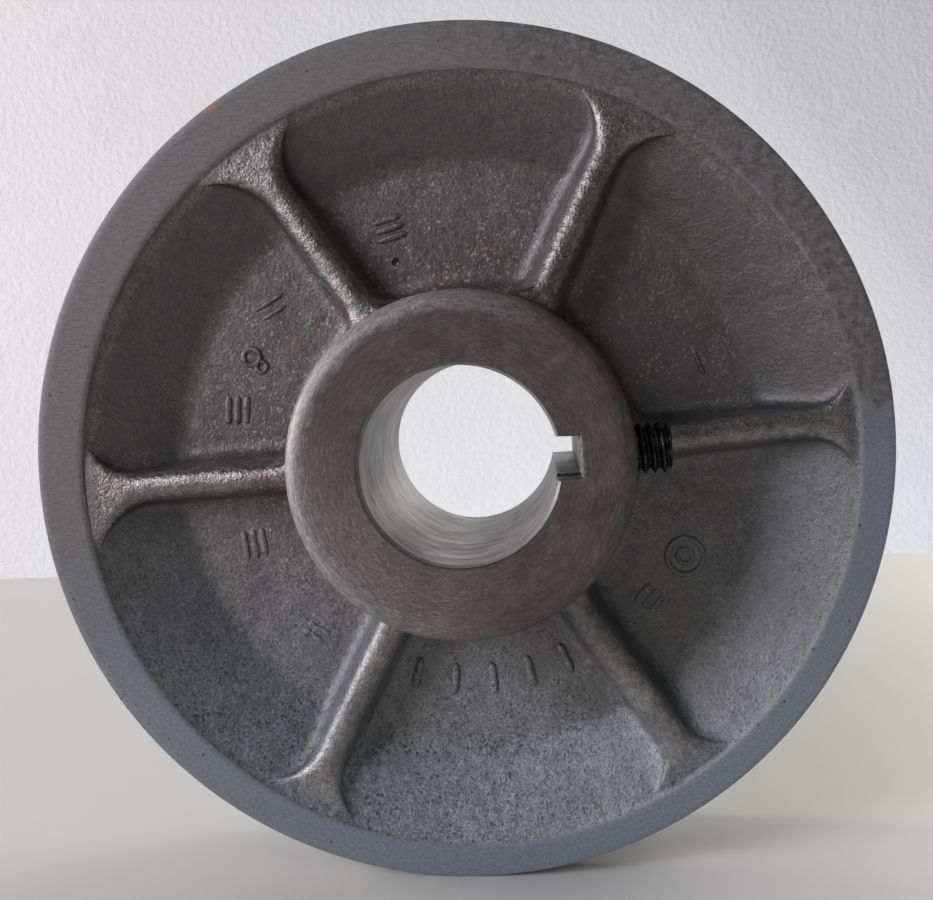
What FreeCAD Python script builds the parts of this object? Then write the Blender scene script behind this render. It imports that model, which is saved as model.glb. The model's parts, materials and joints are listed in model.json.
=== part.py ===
"""Adjustable single groove V-belt pulley, cast iron, in millimetres.

The pulley axis runs along Y.  The long hub with the visible set screw points to -Y,
the threaded barrel and the moving half are on the +Y side, and Z is up.
The rim face of the fixed half lies in the plane Y = 0.
Angles are counted from +X towards +Z.
"""
import FreeCAD
import Part
import math
import os

Vector = FreeCAD.Vector
ORIGIN = Vector(0, 0, 0)
AXIS = Vector(0, 1, 0)

# ---- wheel and groove ----
INCH = 25.4
RIM_RADIUS = 5.35 * INCH / 2
RIM_WIDTH = 0.25 * INCH
GROOVE_SLOPE = 0.3125
CORE_RADIUS = 46.3
CORE_PLANE = RIM_WIDTH + (RIM_RADIUS - CORE_RADIUS) * GROOVE_SLOPE
RIM_CHAMFER = 0.35

# ---- cast pocket between rim and hub ----
POCKET_RADIUS = 61.37
POCKET_FLOOR_RADIUS = 47.5
POCKET_DEPTH = 7.1
POCKET_SHIFT_X = 0.78
POCKET_SHIFT_Z = -1.2
RIM_STEP = 0.4
ROOT_DEPTH = 2.0
POCKET_SOFT = 0.8

# ---- fixed hub, bore and keyway ----
BORE_RADIUS = 1.125 * INCH / 2
BORE_LENGTH = 53.0
HUB_RADIUS = 25.45
HUB_DRAFT = 1.0
HUB_HEIGHT = 19.8
HUB_ROUND = 2.4
HUB_FILLET = 3.4
KEY_ANGLE = 3.8
KEYWAY_WIDTH = 0.25 * INCH
KEYWAY_FLOOR = 17.6
BORE_CHAMFER = 0.4
CUT_BEYOND = 5.0

# ---- ribs ----
RIB_COUNT = 6
RIB_FIRST_ANGLE = 5.7
RIB_TOP_WIDTH = 5.0
RIB_DRAFT = 0.14
RIB_FLARE_START = 52.5
RIB_FLARE_RADIUS = 8.0
RIB_END = 63.5
RIB_RISE = 2.5
RIB_INTO_HUB = 3.0
RIB_REACH = 20.0
RIB_END_THICKNESS = 3.6

# ---- threaded barrel ----
BARREL_RADIUS = 23.75
THREAD_PITCH = INCH / 16
THREAD_DEPTH = 0.85
THREAD_START = 1.2
BARREL_CHAMFER = 0.8
BARREL_END = BORE_LENGTH - HUB_HEIGHT
OUTER_KEYWAY_FLOOR = 21.5

# ---- moving half ----
TURNS_OPEN = 2
REST_SHIFT = TURNS_OPEN * THREAD_PITCH
MOVING_BORE_RADIUS = 23.82
MOVING_HUB_RADIUS = 2.75 * INCH / 2
MOVING_HUB_HEIGHT = BARREL_END - 2 * CORE_PLANE
EXTERNAL_KEY_ANGLE = KEY_ANGLE + 180
LOCK_ANGLE = KEY_ANGLE
MOVING_RIB_ANGLE = KEY_ANGLE + 30

# ---- external key ----
KEY_SIDE = 6.25
KEY_PLAY = 0.06
KEY_LENGTH = 1.0 * INCH
KEY_FRONT = CORE_PLANE + 0.5
KEY_BOTTOM = OUTER_KEYWAY_FLOOR + KEY_PLAY
KEY_TOP = KEY_BOTTOM + KEY_SIDE
KEY_EDGE = 0.35
MOVING_KEYWAY_TOP = KEY_TOP + KEY_PLAY

# ---- set screws ----
HUB_SCREW_RADIUS = 7.9 / 2
HUB_SCREW_LENGTH = 0.5 * INCH
HUB_SCREW_PITCH = INCH / 18
HUB_SCREW_TIP = 18.3
HUB_SCREW_PLANE = -11.0
HUB_SCREW_SOCKET = 5 / 32 * INCH
HUB_SCREW_POINT = 1.3
SMALL_SCREW_RADIUS = 6.2 / 2
SMALL_SCREW_PITCH = INCH / 20
SMALL_SCREW_SOCKET = 1 / 8 * INCH
SMALL_SCREW_POINT = 1.1
SMALL_SCREW_TILT = 18.0
KEY_SCREW_LENGTH = 0.25 * INCH
LOCK_SCREW_LENGTH = 0.5 * INCH
SMALL_SCREW_ENTRY = 20.2
HOLE_PLAY = 0.06
HOLE_LENGTH = 30.0
SOCKET_SHARE = 0.42
THREAD_SHARE = 0.55
THREAD_FLANK = 30.0
SCREW_END_CHAMFER = 0.5

# ---- cast tally marks on the web ----
TALLY_RADIUS = 38.4
TALLY_ANGLES = [109.5, 170.0, 203.4, 230.0, 320.7]
TALLY_GAP = 1.75
TALLY_BAR = [4.2, 0.7]
TALLY_HEIGHT = 0.35
TALLY_ROOT = 0.5
SINGLE_MARKS = [[40.2, 21.3, 111.3], [39.9, 144.6, 32.0]]


def turned(path):
    """Solid of revolution about Y.  A path entry is [r, y] or [mid r, mid y, r, y]."""
    edges = []
    last = Vector(path[0][0], path[0][1], 0)
    first = last
    for entry in path[1:]:
        if len(entry) == 2:
            here = Vector(entry[0], entry[1], 0)
            edges.append(Part.makeLine(last, here))
        else:
            middle = Vector(entry[0], entry[1], 0)
            here = Vector(entry[2], entry[3], 0)
            edges.append(Part.Arc(last, middle, here).toShape())
        last = here
    edges.append(Part.makeLine(last, first))
    face = Part.Face(Part.Wire(edges))
    return face.revolve(ORIGIN, AXIS, 360)


def round_middle(center_r, center_y, radius, angle):
    """Middle point of a rounding arc."""
    turn = math.radians(angle)
    return [center_r + radius * math.cos(turn), center_y + radius * math.sin(turn)]


def around(shape, angle):
    """Turn a shape built along +X to its angle on the wheel."""
    copy = shape.copy()
    copy.rotate(ORIGIN, AXIS, -angle)
    return copy


def radial_box(inner, outer, width, low, high):
    """Box pointing along +X, centred on the axis plane."""
    return Part.makeBox(outer - inner, high - low, width, Vector(inner, low, -width / 2))


def hub_profile(radius, height, fillet):
    """Cast hub standing on the web, with a rounded outer edge and a root fillet."""
    root = radius + HUB_DRAFT
    corner = round_middle(radius - HUB_ROUND, -height + HUB_ROUND, HUB_ROUND, -45)
    fillet_middle = round_middle(root + fillet, POCKET_DEPTH - fillet, fillet, 135)
    return [
        [0, -height],
        [radius - HUB_ROUND, -height],
        corner + [radius, -height + HUB_ROUND],
        [root, POCKET_DEPTH - fillet],
        fillet_middle + [root + fillet, POCKET_DEPTH],
        [root + fillet, POCKET_DEPTH + ROOT_DEPTH],
        [0, POCKET_DEPTH + ROOT_DEPTH],
    ]


def rib(hub_radius):
    """One cast rib along +X: drafted sides, top rising to the hub, fillets into the rim."""
    low = POCKET_DEPTH + ROOT_DEPTH
    high = -RIB_RISE - 1
    start = hub_radius - RIB_INTO_HUB
    flare_end = RIB_FLARE_START + RIB_FLARE_RADIUS
    wires = []
    for level in [low, high]:
        grow = (level - high) * RIB_DRAFT
        half = RIB_TOP_WIDTH / 2 + grow
        radius = RIB_FLARE_RADIUS - grow
        wide = half + radius
        centre = flare_end - radius
        swing = radius * math.sin(math.radians(45))
        upper = [
            Vector(centre + swing, level, wide - swing),
            Vector(flare_end, level, wide),
        ]
        lower = [Vector(point.x, level, -point.z) for point in upper]
        edges = [
            Part.makeLine(Vector(start, level, -half), Vector(centre, level, -half)),
            Part.Arc(Vector(centre, level, -half), lower[0], lower[1]).toShape(),
            Part.makeLine(lower[1], Vector(RIB_END, level, -wide)),
            Part.makeLine(Vector(RIB_END, level, -wide), Vector(RIB_END, level, wide)),
            Part.makeLine(Vector(RIB_END, level, wide), upper[1]),
            Part.Arc(upper[1], upper[0], Vector(centre, level, half)).toShape(),
            Part.makeLine(Vector(centre, level, half), Vector(start, level, half)),
            Part.makeLine(Vector(start, level, half), Vector(start, level, -half)),
        ]
        wires.append(Part.Wire(edges))
    body = Part.makeLoft(wires, True, True)
    floor = POCKET_DEPTH + ROOT_DEPTH * 0.75
    side = [
        [start, floor],
        [start, -RIB_RISE],
        [hub_radius, -RIB_RISE],
        [flare_end, RIM_STEP],
        [RIB_END, RIM_STEP],
        [RIB_END, RIM_STEP + RIB_END_THICKNESS],
        [RIB_FLARE_START, floor],
    ]
    corners = [Vector(entry[0], entry[1], -RIB_REACH) for entry in side]
    outline = Part.makePolygon(corners + [corners[0]])
    slab = Part.Face(outline).extrude(Vector(0, 0, 2 * RIB_REACH))
    return body.common(slab)


def flange(hub_radius, hub_height, rib_angle, shift_x, shift_z):
    """Grooved disc with pocket, hub and ribs; rim face at Y = 0, core face on +Y."""
    disc = turned([
        [0, 0],
        [RIM_RADIUS - RIM_CHAMFER, 0],
        [RIM_RADIUS, RIM_CHAMFER],
        [RIM_RADIUS, RIM_WIDTH],
        [CORE_RADIUS, CORE_PLANE],
        [0, CORE_PLANE],
    ])
    slope = (POCKET_DEPTH - RIM_STEP) / (POCKET_RADIUS - POCKET_FLOOR_RADIUS)
    soft_start = POCKET_FLOOR_RADIUS + POCKET_SOFT
    soft_end = POCKET_FLOOR_RADIUS - POCKET_SOFT
    pocket = turned([
        [0, -1],
        [POCKET_RADIUS, -1],
        [POCKET_RADIUS, RIM_STEP],
        [soft_start, POCKET_DEPTH - POCKET_SOFT * slope],
        [POCKET_FLOOR_RADIUS, POCKET_DEPTH - POCKET_SOFT * slope / 4, soft_end, POCKET_DEPTH],
        [0, POCKET_DEPTH],
    ])
    pocket.translate(Vector(shift_x, 0, shift_z))
    body = disc.cut(pocket)
    pieces = [turned(hub_profile(hub_radius, hub_height, HUB_FILLET))]
    for index in range(RIB_COUNT):
        angle = rib_angle + index * 360 / RIB_COUNT
        pieces.append(around(rib(hub_radius), angle))
    return body.fuse(pieces)


def tally_marks():
    """Raised casting marks: groups of three short bars and two single bars."""
    marks = []
    low = POCKET_DEPTH - TALLY_HEIGHT
    high = POCKET_DEPTH + TALLY_ROOT
    for angle in TALLY_ANGLES:
        for step in [-1, 0, 1]:
            inner = TALLY_RADIUS + step * TALLY_GAP - TALLY_BAR[1] / 2
            bar = radial_box(inner, inner + TALLY_BAR[1], TALLY_BAR[0], low, high)
            marks.append(around(bar, angle))
    for radius, angle, lean in SINGLE_MARKS:
        bar = Part.makeBox(TALLY_BAR[0], high - low, TALLY_BAR[1])
        bar.translate(Vector(-TALLY_BAR[0] / 2, low, -TALLY_BAR[1] / 2))
        bar.rotate(ORIGIN, AXIS, -lean)
        turn = math.radians(angle)
        bar.translate(Vector(radius * math.cos(turn), 0, radius * math.sin(turn)))
        marks.append(bar)
    return marks


def threaded_barrel():
    """Barrel with its thread shown as evenly spaced ring grooves."""
    path = [[0, CORE_PLANE - 1], [BARREL_RADIUS, CORE_PLANE - 1]]
    count = int((BARREL_END - CORE_PLANE - THREAD_START) / THREAD_PITCH)
    half = THREAD_DEPTH * math.tan(math.radians(THREAD_FLANK))
    for index in range(count):
        middle = CORE_PLANE + THREAD_START + index * THREAD_PITCH
        path.append([BARREL_RADIUS, middle - half])
        path.append([BARREL_RADIUS - THREAD_DEPTH, middle])
        path.append([BARREL_RADIUS, middle + half])
    path.append([BARREL_RADIUS, BARREL_END - BARREL_CHAMFER])
    path.append([BARREL_RADIUS - BARREL_CHAMFER, BARREL_END])
    path.append([0, BARREL_END])
    return turned(path)


def set_screw(radius, length, pitch, socket, point):
    """Socket set screw along +X with its point at X = 0."""
    depth = pitch * THREAD_SHARE
    half = depth * math.tan(math.radians(THREAD_FLANK))
    path = [[0, 0], [radius - point, 0], [radius, point]]
    middle = point + 0.5 * pitch
    while middle < length - 0.75 * pitch:
        path.append([radius, middle - half])
        path.append([radius - depth, middle])
        path.append([radius, middle + half])
        middle += pitch
    path.append([radius, length - SCREW_END_CHAMFER])
    path.append([radius - SCREW_END_CHAMFER, length])
    path.append([0, length])
    screw = turned(path)
    corners = []
    for index in range(7):
        turn = math.radians(60 * index)
        reach = socket / 2 / math.cos(math.radians(30))
        floor = length * (1 - SOCKET_SHARE)
        corners.append(Vector(reach * math.cos(turn), floor, reach * math.sin(turn)))
    hexagon = Part.Face(Part.makePolygon(corners)).extrude(Vector(0, length, 0))
    screw = screw.cut(hexagon)
    screw.rotate(ORIGIN, Vector(0, 0, 1), -90)
    return screw


def placed_screw(screw, angle, tilt, distance, plane):
    """Put a screw on its own line: lean it, move it out, turn it to its angle."""
    copy = screw.copy()
    copy.rotate(ORIGIN, Vector(0, 0, 1), tilt)
    copy.translate(Vector(distance, plane, 0))
    return around(copy, angle)


def drilled(radius, length, angle, tilt, distance, plane):
    """Straight round hole on the same kind of line as a set screw."""
    tool = Part.makeCylinder(radius, length, ORIGIN, Vector(1, 0, 0))
    return placed_screw(tool, angle, tilt, distance, plane)


def tilted_plane(radius):
    """Where along the axis the tilted screw line of the moving half crosses a radius."""
    return SMALL_SCREW_ENTRY + (radius - BARREL_RADIUS) * math.tan(math.radians(SMALL_SCREW_TILT))


def fixed_half():
    body = flange(HUB_RADIUS, HUB_HEIGHT, RIB_FIRST_ANGLE, POCKET_SHIFT_X, POCKET_SHIFT_Z)
    body = body.fuse([threaded_barrel()] + tally_marks())
    bore = turned([
        [0, -HUB_HEIGHT - 1],
        [BORE_RADIUS + BORE_CHAMFER + 1, -HUB_HEIGHT - 1],
        [BORE_RADIUS, -HUB_HEIGHT + BORE_CHAMFER],
        [BORE_RADIUS, BARREL_END - BORE_CHAMFER],
        [BORE_RADIUS + BORE_CHAMFER + 1, BARREL_END + 1],
        [0, BARREL_END + 1],
    ])
    front = -HUB_HEIGHT - CUT_BEYOND
    back = BARREL_END + CUT_BEYOND
    inner = BORE_RADIUS - CUT_BEYOND
    keyway = around(radial_box(inner, KEYWAY_FLOOR, KEYWAY_WIDTH, front, back), KEY_ANGLE)
    tools = [bore, keyway]
    for angle in [EXTERNAL_KEY_ANGLE, LOCK_ANGLE]:
        outer = BARREL_RADIUS + CUT_BEYOND
        slot = radial_box(OUTER_KEYWAY_FLOOR, outer, KEYWAY_WIDTH, CORE_PLANE, back)
        tools.append(around(slot, angle))
    hole_radius = HUB_SCREW_RADIUS + HOLE_PLAY
    tools.append(drilled(hole_radius, HOLE_LENGTH, KEY_ANGLE, 0, BORE_RADIUS, HUB_SCREW_PLANE))
    return body.cut(tools)


def moving_half():
    body = flange(MOVING_HUB_RADIUS, MOVING_HUB_HEIGHT, MOVING_RIB_ANGLE, 0, 0)
    body = body.mirror(Vector(0, CORE_PLANE, 0), AXIS)
    front = CORE_PLANE - CUT_BEYOND
    back = BARREL_END + CUT_BEYOND
    bore = Part.makeCylinder(MOVING_BORE_RADIUS, back - front, Vector(0, front, 0), AXIS)
    inner = MOVING_BORE_RADIUS - CUT_BEYOND
    slot = radial_box(inner, MOVING_KEYWAY_TOP, KEYWAY_WIDTH, front, back)
    tools = [bore, around(slot, EXTERNAL_KEY_ANGLE)]
    hole_radius = SMALL_SCREW_RADIUS + HOLE_PLAY
    start = OUTER_KEYWAY_FLOOR
    for angle in [EXTERNAL_KEY_ANGLE, LOCK_ANGLE]:
        hole = drilled(
            hole_radius, HOLE_LENGTH, angle, SMALL_SCREW_TILT, start, tilted_plane(start)
        )
        tools.append(hole)
    body = body.cut(tools)
    body.translate(Vector(0, REST_SHIFT, 0))
    return body


def external_key():
    low = KEY_FRONT
    high = KEY_FRONT + KEY_LENGTH
    key = radial_box(KEY_BOTTOM, KEY_TOP, KEY_SIDE, low, high)
    key = key.makeChamfer(KEY_EDGE, key.Edges)
    key.translate(Vector(0, REST_SHIFT, 0))
    return around(key, EXTERNAL_KEY_ANGLE)


def hub_set_screw():
    screw = set_screw(
        HUB_SCREW_RADIUS, HUB_SCREW_LENGTH, HUB_SCREW_PITCH, HUB_SCREW_SOCKET, HUB_SCREW_POINT
    )
    return placed_screw(screw, KEY_ANGLE, 0, HUB_SCREW_TIP, HUB_SCREW_PLANE)


def moving_screw(length, angle, tip_radius):
    """Tilted set screw of the moving half with its point at the given radius."""
    screw = set_screw(
        SMALL_SCREW_RADIUS, length, SMALL_SCREW_PITCH, SMALL_SCREW_SOCKET, SMALL_SCREW_POINT
    )
    plane = tilted_plane(tip_radius) + REST_SHIFT
    return placed_screw(screw, angle, SMALL_SCREW_TILT, tip_radius, plane)


def build():
    parts = {}
    parts["fixed_flange"] = fixed_half()
    parts["moving_flange"] = moving_half()
    parts["external_key"] = external_key()
    parts["hub_set_screw"] = hub_set_screw()
    lean = math.sin(math.radians(SMALL_SCREW_TILT))
    key_tip = KEY_TOP + KEY_PLAY + SMALL_SCREW_RADIUS * lean
    lock_tip = OUTER_KEYWAY_FLOOR + KEY_PLAY + SMALL_SCREW_RADIUS * lean
    parts["key_set_screw"] = moving_screw(KEY_SCREW_LENGTH, EXTERNAL_KEY_ANGLE, key_tip)
    parts["lock_set_screw"] = moving_screw(LOCK_SCREW_LENGTH, LOCK_ANGLE, lock_tip)
    return parts


os.makedirs("parts", exist_ok=True)
for name, shape in build().items():
    shape = shape.removeSplitter()
    solids = shape.Solids
    print(name, "solids", len(solids), "valid", shape.isValid(), "volume", round(shape.Volume))
    box = shape.BoundBox
    print("   box", [round(v, 2) for v in [box.XMin, box.YMin, box.ZMin, box.XMax, box.YMax, box.ZMax]])
    solids[0].exportStep("parts/" + name + ".step")
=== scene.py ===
"""Looks of the adjustable V-belt pulley.

Lengths in this script are millimetres in the part's own frame: the axis runs along Y, the long
hub of the fixed half points to -Y and Z is up.  Meshes are scaled to metres when they are made.
Both castings are closed surfaces made of rings round the axis: every ring has the same number
of columns, and the columns follow the edges of the ribs.
"""
import functools
import json
import math

import bpy
import numpy as np
from mathutils import Matrix, Vector, noise


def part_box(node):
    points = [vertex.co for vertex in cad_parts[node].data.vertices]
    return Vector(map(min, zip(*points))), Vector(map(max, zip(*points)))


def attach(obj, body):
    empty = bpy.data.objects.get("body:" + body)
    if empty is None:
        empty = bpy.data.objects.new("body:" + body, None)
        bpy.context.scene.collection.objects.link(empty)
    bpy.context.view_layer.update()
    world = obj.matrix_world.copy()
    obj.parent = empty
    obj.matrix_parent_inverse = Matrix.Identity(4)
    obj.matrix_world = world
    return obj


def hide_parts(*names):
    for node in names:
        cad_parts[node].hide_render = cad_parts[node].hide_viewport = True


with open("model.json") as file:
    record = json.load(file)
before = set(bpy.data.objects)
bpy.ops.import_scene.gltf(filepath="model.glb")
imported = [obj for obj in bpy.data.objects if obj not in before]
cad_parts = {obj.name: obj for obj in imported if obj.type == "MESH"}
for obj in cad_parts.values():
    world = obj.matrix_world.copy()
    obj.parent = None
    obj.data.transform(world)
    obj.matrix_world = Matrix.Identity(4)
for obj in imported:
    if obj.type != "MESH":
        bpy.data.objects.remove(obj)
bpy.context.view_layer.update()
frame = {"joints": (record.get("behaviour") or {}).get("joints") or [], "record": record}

MM = 0.001
INCH = 25.4


def node_box(name):
    """Corners of a CAD node in millimetres."""
    low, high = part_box(name)
    return np.array(low) / MM, np.array(high) / MM


def entry(entries, key, value):
    """The entry of a list in the frame that has this value under this key."""
    for item in entries:
        if item[key] == value:
            return item
    raise ValueError(value)


# ---- wheel, taken from the frame where it says so ----
FIXED_LOW, FIXED_HIGH = node_box("fixed_flange")
RIM_RADIUS = 5.35 * INCH / 2
RIM_WIDTH = 0.25 * INCH
GROOVE_SLOPE = 0.3125
CORE_RADIUS = 46.3
CORE_PLANE = RIM_WIDTH + (RIM_RADIUS - CORE_RADIUS) * GROOVE_SLOPE
HUB_HEIGHT = -FIXED_LOW[1]
BARREL_END = FIXED_HIGH[1]
REST_SHIFT = node_box("moving_flange")[0][1] - CORE_PLANE
FLOOR_HEIGHT = -RIM_RADIUS

# ---- pocket and rim ----
POCKET_RADIUS = 61.37
POCKET_FLOOR_RADIUS = 47.5
POCKET_DEPTH = 7.1
POCKET_SHIFT = (0.78, -1.2)
FLOOR_SOFT = 0.35
RIM_STEP = 0.4
RIM_LIP = 1.05
RIM_EDGE = 0.45
# Rounded edge of the pocket: distance outwards and share of the rim step that is left.
POCKET_EDGE = [[0.22, 0.55], [0.5, 0.22], [0.78, 0.05]]
# Rings of the web, as distances from the hub's foot on a web of this width.
WEB_WIDTH = 35.3
WEB_NEAR = [0, 0.35, 0.8, 1.4, 2.1, 2.9, 3.8, 4.8]
WEB_MIDDLE = np.linspace(4.8, 34.3, 33)[1:]
WEB_LAST = [34.8, 35.3]

# ---- ribs and hub ----
RIB_COUNT = 6
FIRST_RIB = 5.7
RIB_HALF = 2.5
RIB_RISE = 2.5
RIB_ROUND = 2.3
RIB_FILLET = 2.3
SOFT_SHARE = 0.44
RIB_DRAFT = 0.14
RIM_GAP = 0.8
FLARE_SHARE = 0.62
FLARE_LIMIT = 0.98
CORNER_RADIUS = 3.6
HUB_ROUND = 2.4
HUB_FILLET = 3.4
TOP_FILLET = 1.3
FIXED_HUB_RADIUS = 25.45
MOVING_HUB_RADIUS = 2.75 * INCH / 2
# The cast hub of the fixed half lies off the axis, between these distances from it.
HUB_SHIFT = [0.24, -0.27]
SHIFT_IN = [15.5, 20.0]
SHIFT_OUT = [46.0, 32.0]

# Ribs of the fixed half: small turn out of place, flare radius on its two sides.
FIXED_RIBS = [
    [-0.65, 6.0, 6.3],
    [-0.55, 8.0, 9.5],
    [0.0, 10.5, 9.0],
    [0.25, 9.5, 7.0],
    [0.0, 7.8, 8.0],
    [0.4, 6.0, 7.5],
]
MOVING_RIBS = [[0.0, 8.0, 8.0]] * RIB_COUNT

# ---- bore, keyways and thread ----
BORE_RADIUS = entry(frame["record"]["mounts"], "name", "shaft_bore")["dims"]["r_mm"]
BORE_CHAMFER = 0.4
KEYWAY_HALF = 0.125 * INCH
KEYWAY_FLOOR = 17.6
KEY_ANGLE = 3.8
OUTER_KEYWAY_FLOOR = 21.5
MOVING_KEYWAY_FLOOR = 27.87
SLOT_GAP = 0.4
SEAT_FADE = 12.0
BARREL_RADIUS = 23.75
BARREL_CHAMFER = 0.9
# End face of the barrel: distance from the axis and share of the way to the bore's columns.
BARREL_FACE = [[OUTER_KEYWAY_FLOOR - 0.15, 0.0], [20.4, 0.5], [19.6, 1.0], [18.8, 1.0]]
THREAD_PITCH = INCH / 16
THREAD_DEPTH = 0.85
THREAD_PLAY = 0.2
THREAD_START = 1.0
THREAD_RUN_IN = 0.8
ROWS_PER_PITCH = 8

# ---- set screws: CAD node, radius, length, pitch, socket across flats, point chamfer ----
SCREWS = [
    ["hub_set_screw", 3.88, 0.5 * INCH, INCH / 18, 5 / 32 * INCH, 1.3],
    ["key_set_screw", 3.1, 0.25 * INCH, INCH / 20, 1 / 8 * INCH, 1.1],
    ["lock_set_screw", 3.1, 0.5 * INCH, INCH / 20, 1 / 8 * INCH, 1.1],
]
HOLE_PLAY = 0.08

# ---- external key ----
KEY_SIDE = 6.25
KEY_PLAY = 0.06
KEY_EDGE = 0.35

# ---- material bands of a casting, and the kinds of columns across a rib and its bay ----
CAST, TURNED, HUB_FACE, BORE_WALL, THREAD = range(5)
TOP, ROUND, WALL, FILLET, BAY = range(5)


# ======== mesh helpers
def add_object(name, data):
    """Object with this data, linked to the scene."""
    obj = bpy.data.objects.new(name, data)
    bpy.context.scene.collection.objects.link(obj)
    return obj


def new_mesh(name, points, faces):
    """Mesh from points in millimetres."""
    mesh = bpy.data.meshes.new(name)
    mesh.from_pydata((np.asarray(points) * MM).tolist(), [], faces)
    return mesh


def make_object(name, points, faces, materials, bands=None, sharp=38.0):
    """Mesh object, smooth except at edges sharper than `sharp` degrees."""
    mesh = new_mesh(name, points, faces)
    mesh.validate()
    mesh.polygons.foreach_set("use_smooth", [True] * len(mesh.polygons))
    if bands is not None:
        mesh.polygons.foreach_set("material_index", bands)
    mesh.set_sharp_from_angle(angle=math.radians(sharp))
    for material in materials:
        mesh.materials.append(material)
    return add_object(name, mesh)


def declare(obj, body, node=None):
    """Says which body carries a piece and the CAD node that it stands for."""
    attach(obj, body)
    if node:
        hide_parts(node)


def ring_faces(rings, columns, closed, flip=False):
    """Quads between neighbouring rings, with the last ring joined to the first if closed."""
    faces = []
    count = rings if closed else rings - 1
    for ring in range(count):
        here = ring * columns
        there = ((ring + 1) % rings) * columns
        for column in range(columns):
            after = (column + 1) % columns
            quad = (here + column, here + after, there + after, there + column)
            faces.append(quad[::-1] if flip else quad)
    return faces


def pointed_faces(rings, columns, flip=False):
    """Faces of open rings closed by two single points that come after them."""
    faces = ring_faces(rings, columns, False, flip)
    first = rings * columns
    last_ring = first - columns
    for column in range(columns):
        after = (column + 1) % columns
        for fan in [(first, after, column), (first + 1, last_ring + column, last_ring + after)]:
            faces.append(fan[::-1] if flip else fan)
    return faces


def loft(points, closed, section):
    """Faces of a bar made of equal sections, closed in a loop or capped at both ends."""
    count = len(points) // section
    faces = ring_faces(count, section, closed)
    if not closed:
        faces.append(tuple(range(section))[::-1])
        faces.append(tuple(range((count - 1) * section, count * section)))
    return faces


def swung(x, z, angle):
    """Point of the wheel's plane turned about the axis, in degrees from +X towards +Z."""
    turn = math.radians(angle)
    return x * math.cos(turn) - z * math.sin(turn), x * math.sin(turn) + z * math.cos(turn)


def polar(radius, angle, height):
    """Points of one ring; the angle is in degrees from +X towards +Z."""
    turn = np.radians(angle)
    return np.stack([radius * np.cos(turn), height + 0 * turn, radius * np.sin(turn)], axis=1)


def ease(value, start, end):
    """0 before the start, 1 after the end and straight in between."""
    return np.clip((value - start) / (end - start), 0, 1)


def part_way(start, end, share):
    """Value at a share of the way from start to end."""
    return start + (end - start) * share


def off_centre(points):
    """Moves the hub of the fixed half a little off the axis; the bore and the rim stay."""
    away = np.hypot(points[:, 0], points[:, 2])
    share = ease(away, *SHIFT_IN) * ease(away, *SHIFT_OUT)
    points[:, 0] += HUB_SHIFT[0] * share
    points[:, 2] += HUB_SHIFT[1] * share
    return points


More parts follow.
